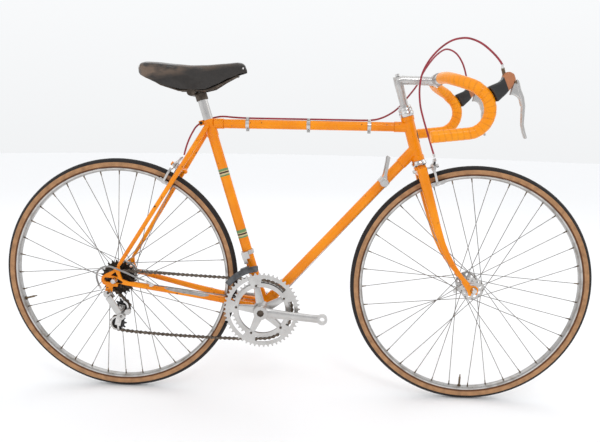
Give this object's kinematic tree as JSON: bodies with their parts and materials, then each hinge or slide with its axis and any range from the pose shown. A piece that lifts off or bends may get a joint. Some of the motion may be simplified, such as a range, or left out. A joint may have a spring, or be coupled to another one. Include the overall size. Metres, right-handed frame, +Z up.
{
  "type": "road bicycle",
  "caption": "Lugged steel road bicycle with drop bars, sidepull brakes, down-tube shifters and a freewheel drive, jointed at wheels, steering, cranks, brakes and gears.",
  "frame": {"origin": "on the ground under the middle of the wheelbase, in the bicycle's middle plane", "axes": "+X forward, +Y to the rider's left, +Z up; the drive side faces -Y"},
  "size_m": [1.6556, 0.423, 0.992],
  "materials": {
    "orange_enamel": "glossy, worn at the lugs",
    "polished_alloy": "polished with fine scratches",
    "bright_chrome": "bright",
    "dark_steel": "oily and dark",
    "tyre_rubber": "black tread with tan and brown sidewalls",
    "black_plastic": "matte",
    "black_leather": "satin, worn brown at the edges",
    "orange_tape": "glossy, wrapped",
    "gum_rubber": "satin",
    "red_housing": "glossy",
    "grey_housing": "glossy"
  },
  "bodies": {
    "frame": {"top_tube": "orange_enamel", "down_tube": "orange_enamel", "seat_tube": "orange_enamel", "head_tube": "orange_enamel", "bottom_bracket_shell": "orange_enamel", "chain_stay_right": "orange_enamel", "chain_stay_left": "orange_enamel", "seat_stays": "orange_enamel", "headset_upper": "bright_chrome", "headset_lower": "bright_chrome", "front_derailleur_body": "polished_alloy", "rear_derailleur_body": "polished_alloy", "shifter_clamp": "polished_alloy", "rear_axle": "bright_chrome", "rear_brake_cable": "red_housing", "derailleur_housing": "grey_housing", "chain": "dark_steel"},
    "saddle": {"seatpost": "polished_alloy", "saddle_frame": "dark_steel", "saddle_top": "black_leather"},
    "steering": {"fork": "orange_enamel", "stem": "polished_alloy", "handlebar": "polished_alloy", "bar_tape_right": "orange_tape", "bar_tape_left": "orange_tape", "brake_hood_right": "gum_rubber", "brake_hood_left": "gum_rubber", "front_axle": "bright_chrome", "front_brake_cable": "red_housing"},
    "front_wheel": {"front_hub": "polished_alloy", "front_rim": "polished_alloy", "front_tyre": "tyre_rubber", "front_spokes_right": "polished_alloy", "front_spokes_left": "polished_alloy"},
    "rear_wheel": {"rear_hub": "polished_alloy", "rear_rim": "polished_alloy", "rear_tyre": "tyre_rubber", "rear_spokes_right": "polished_alloy", "rear_spokes_left": "polished_alloy"},
    "crankset": {"crank_right": "polished_alloy", "crank_left": "polished_alloy", "outer_chainring": "polished_alloy", "inner_chainring": "polished_alloy"},
    "freewheel": {"freewheel": "dark_steel"},
    "derailleur_link": {"rear_derailleur_link": "polished_alloy"},
    "derailleur_knuckle": {"rear_derailleur_knuckle": "polished_alloy"},
    "derailleur_cage": {"rear_derailleur_cage": "bright_chrome"},
    "guide_pulley": {"upper_jockey_wheel": "black_plastic"},
    "tension_pulley": {"lower_jockey_wheel": "black_plastic"},
    "front_cage": {"front_derailleur_cage": "dark_steel"},
    "shifter_right": {"shift_lever_right": "polished_alloy"},
    "shifter_left": {"shift_lever_left": "polished_alloy"},
    "brake_lever_right": {"brake_lever_right": "polished_alloy"},
    "brake_lever_left": {"brake_lever_left": "polished_alloy"},
    "front_brake_right": {"front_brake_arm_right": "polished_alloy"},
    "front_brake_left": {"front_brake_arm_left": "polished_alloy"},
    "rear_brake_right": {"rear_brake_arm_right": "polished_alloy"},
    "rear_brake_left": {"rear_brake_arm_left": "polished_alloy"},
    "front_quick_release": {"front_quick_release_lever": "bright_chrome"},
    "rear_quick_release": {"rear_quick_release_lever": "bright_chrome"}
  },
  "joints": [
    {"name": "steering_turn", "type": "hinge", "parent": "frame", "child": "steering", "pos_m": [0.3387, 0, 0.66449], "axis": [-0.2924, 0, 0.9563], "range_deg": [-60, 60], "deforming": ["rear_brake_cable"]},
    {"name": "front_wheel_spin", "type": "hinge", "parent": "steering", "child": "front_wheel", "pos_m": [0.4938, 0, 0.334], "axis": [0, 1, 0], "continuous": true},
    {"name": "rear_wheel_spin", "type": "hinge", "parent": "frame", "child": "rear_wheel", "pos_m": [-0.4938, 0, 0.334], "axis": [0, 1, 0], "continuous": true},
    {"name": "crank_spin", "type": "hinge", "parent": "frame", "child": "crankset", "pos_m": [-0.08508, 0, 0.2565], "axis": [0, 1, 0], "continuous": true, "deforming": ["chain"]},
    {"name": "freewheel_spin", "type": "hinge", "parent": "rear_wheel", "child": "freewheel", "pos_m": [-0.4938, 0, 0.334], "axis": [0, 1, 0], "continuous": true},
    {"name": "seatpost_height", "type": "slide", "parent": "frame", "child": "saddle", "axis": [-0.2857, 0, 0.9583], "range_m": [-0.04, 0.03]},
    {"name": "derailleur_swing", "type": "hinge", "parent": "frame", "child": "derailleur_link", "pos_m": [-0.505, -0.079, 0.2855], "axis": [0.8474, 0, 0.531], "range_deg": [-2, 32]},
    {"name": "derailleur_knuckle_turn", "type": "hinge", "parent": "derailleur_link", "child": "derailleur_knuckle", "pos_m": [-0.4815, -0.079, 0.248], "axis": [0.8474, 0, 0.531], "range_deg": [-32, 2]},
    {"name": "derailleur_cage_swing", "type": "hinge", "parent": "derailleur_knuckle", "child": "derailleur_cage", "pos_m": [-0.475, 0, 0.2335], "axis": [0, 1, 0], "range_deg": [-20, 25], "stiffness_Nm_per_rad": 0.5},
    {"name": "guide_pulley_spin", "type": "hinge", "parent": "derailleur_cage", "child": "guide_pulley", "pos_m": [-0.4778, -0.052, 0.256], "axis": [0, 1, 0], "continuous": true},
    {"name": "tension_pulley_spin", "type": "hinge", "parent": "derailleur_cage", "child": "tension_pulley", "pos_m": [-0.4904, -0.052, 0.2088], "axis": [0, 1, 0], "continuous": true},
    {"name": "front_cage_shift", "type": "slide", "parent": "frame", "child": "front_cage", "axis": [0, -1, 0], "range_m": [-0.0005, 0.006]},
    {"name": "shifter_right_turn", "type": "hinge", "parent": "frame", "child": "shifter_right", "pos_m": [0.24284, 0, 0.61925], "axis": [0, -1, 0], "range_deg": [0, 80]},
    {"name": "shifter_left_turn", "type": "hinge", "parent": "frame", "child": "shifter_left", "pos_m": [0.24284, 0, 0.61925], "axis": [0, -1, 0], "range_deg": [0, 80]},
    {"name": "brake_lever_right_pull", "type": "hinge", "parent": "steering", "child": "brake_lever_right", "pos_m": [0.51996, -0.197, 0.87532], "axis": [0, 1, 0], "range_deg": [0, 20], "stiffness_Nm_per_rad": 0.6},
    {"name": "brake_lever_left_pull", "type": "hinge", "parent": "steering", "child": "brake_lever_left", "pos_m": [0.51996, 0.197, 0.87532], "axis": [0, 1, 0], "range_deg": [0, 20], "stiffness_Nm_per_rad": 0.6},
    {"name": "front_brake_right_close", "type": "hinge", "parent": "steering", "child": "front_brake_right", "pos_m": [0.36927, 0, 0.66129], "axis": [0.9563, 0, 0.2924], "range_deg": [0, 1.9]},
    {"name": "front_brake_left_close", "type": "hinge", "parent": "steering", "child": "front_brake_left", "pos_m": [0.36927, 0, 0.66129], "axis": [-0.9563, 0, -0.2924], "range_deg": [0, 1.9]},
    {"name": "rear_brake_right_close", "type": "hinge", "parent": "frame", "child": "rear_brake_right", "pos_m": [-0.3269, 0, 0.6471], "axis": [0.8483, 0, -0.5296], "range_deg": [0, 1.9]},
    {"name": "rear_brake_left_close", "type": "hinge", "parent": "frame", "child": "rear_brake_left", "pos_m": [-0.3269, 0, 0.6471], "axis": [-0.8483, 0, 0.5296], "range_deg": [0, 1.9]},
    {"name": "front_quick_release_turn", "type": "hinge", "parent": "steering", "child": "front_quick_release", "pos_m": [0.4938, 0.0731, 0.334], "axis": [-0.866, 0, 0.5], "range_deg": [-180, 0]},
    {"name": "rear_quick_release_turn", "type": "hinge", "parent": "frame", "child": "rear_quick_release", "pos_m": [-0.4938, 0.0841, 0.334], "axis": [0, 0, 1], "range_deg": [-180, 0]}
  ],
  "couplings": [
    {"joint": "freewheel_spin", "follows": "crank_spin", "ratio": 3.2308},
    {"joint": "guide_pulley_spin", "follows": "crank_spin", "ratio": -4.2},
    {"joint": "tension_pulley_spin", "follows": "crank_spin", "ratio": 4.2},
    {"joint": "derailleur_swing", "follows": "shifter_right_turn", "ratio": 0.375},
    {"joint": "derailleur_knuckle_turn", "follows": "shifter_right_turn", "ratio": -0.375},
    {"joint": "front_cage_shift", "follows": "shifter_left_turn", "m_per_rad": 0.0042},
    {"joint": "front_brake_right_close", "follows": "brake_lever_right_pull", "ratio": 0.085},
    {"joint": "front_brake_left_close", "follows": "brake_lever_right_pull", "ratio": 0.085},
    {"joint": "rear_brake_right_close", "follows": "brake_lever_left_pull", "ratio": 0.085},
    {"joint": "rear_brake_left_close", "follows": "brake_lever_left_pull", "ratio": 0.085}
  ]
}
